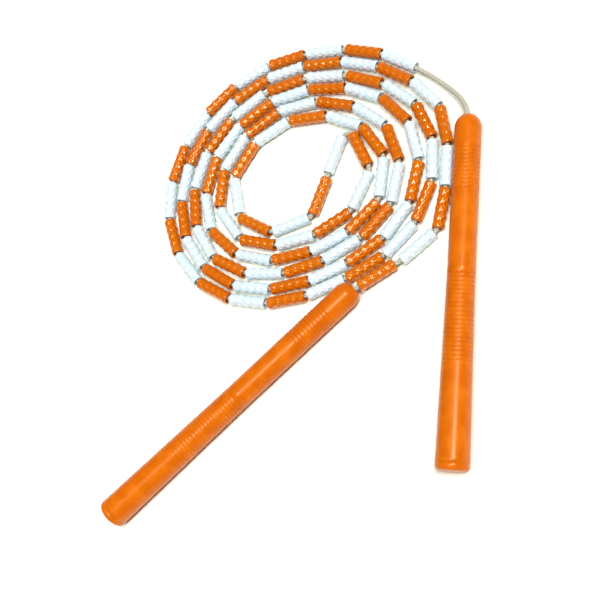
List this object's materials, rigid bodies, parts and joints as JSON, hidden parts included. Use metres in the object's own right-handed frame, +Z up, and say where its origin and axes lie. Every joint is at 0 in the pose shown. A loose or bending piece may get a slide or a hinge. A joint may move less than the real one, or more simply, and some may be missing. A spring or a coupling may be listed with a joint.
{
  "type": "jump rope",
  "caption": "Beaded jump rope lying coiled in a clockwise double spiral, with two long grooved handles that swivel freely on the cord.",
  "frame": {"origin": "on the floor, under the middle of the box that the two handles fill", "axes": "+Z up, +Y from the right handle's butt to its rope end, +X to the right seen from above with +Y up the page"},
  "size_m": [0.2321, 0.3119, 0.0189],
  "materials": {
    "handle": "satin-gloss moulded orange plastic",
    "orange_bead": "moulded orange plastic, glossy and knobbly",
    "white_bead": "moulded milky white plastic, glossy and knobbly",
    "cord": "cream braided nylon",
    "washer": "plain natural nylon"
  },
  "bodies": {
    "rope": {"cord": "cord", "left_orange_beads_02_04": "orange_bead", "left_orange_beads_06_08": "orange_bead", "left_orange_beads_10_12": "orange_bead", "left_orange_beads_14_16": "orange_bead", "left_orange_beads_18_20": "orange_bead", "left_orange_beads_22_24": "orange_bead", "left_orange_beads_26_28": "orange_bead", "left_orange_beads_30_32": "orange_bead", "left_orange_beads_34_36": "orange_bead", "left_orange_beads_38_40": "orange_bead", "left_orange_beads_42_44": "orange_bead", "left_orange_beads_46_48": "orange_bead", "left_stopper_knot": "cord", "left_white_beads_01_03": "white_bead", "left_white_beads_05_07": "white_bead", "left_white_beads_09_11": "white_bead", "left_white_beads_13_15": "white_bead", "left_white_beads_17_19": "white_bead", "left_white_beads_21_23": "white_bead", "left_white_beads_25_27": "white_bead", "left_white_beads_29_31": "white_bead", "left_white_beads_33_35": "white_bead", "left_white_beads_37_39": "white_bead", "left_white_beads_41_43": "white_bead", "left_white_beads_45_47": "white_bead", "right_orange_beads_01_03": "orange_bead", "right_orange_beads_05_07": "orange_bead", "right_orange_beads_09_11": "orange_bead", "right_orange_beads_13_15": "orange_bead", "right_orange_beads_17_19": "orange_bead", "right_orange_beads_21_23": "orange_bead", "right_orange_beads_25_27": "orange_bead", "right_orange_beads_29_31": "orange_bead", "right_orange_beads_33_35": "orange_bead", "right_orange_beads_37_39": "orange_bead", "right_orange_beads_41_43": "orange_bead", "right_orange_beads_45_47": "orange_bead", "right_stopper_knot": "cord", "right_white_beads_02_04": "white_bead", "right_white_beads_06_08": "white_bead", "right_white_beads_10_12": "white_bead", "right_white_beads_14_16": "white_bead", "right_white_beads_18_20": "white_bead", "right_white_beads_22_24": "white_bead", "right_white_beads_26_28": "white_bead", "right_white_beads_30_32": "white_bead", "right_white_beads_34_36": "white_bead", "right_white_beads_38_40": "white_bead", "right_white_beads_42_44": "white_bead", "right_white_beads_46_48": "white_bead"},
    "left_handle": {"left_handle_tube": "handle", "left_end_cap": "handle", "left_washer": "washer"},
    "right_handle": {"right_handle_tube": "handle", "right_end_cap": "handle", "right_washer": "washer"}
  },
  "joints": [
    {"name": "left_handle_swivel", "type": "hinge", "parent": "rope", "child": "left_handle", "pos_m": [0.041, 0.0222, 0.00794], "axis": [-0.7373, -0.6756, 0.0074], "continuous": true},
    {"name": "right_handle_swivel", "type": "hinge", "parent": "rope", "child": "right_handle", "pos_m": [0.107, 0.124, 0.00794], "axis": [-0.007, -0.9999, 0.0074], "continuous": true}
  ]
}
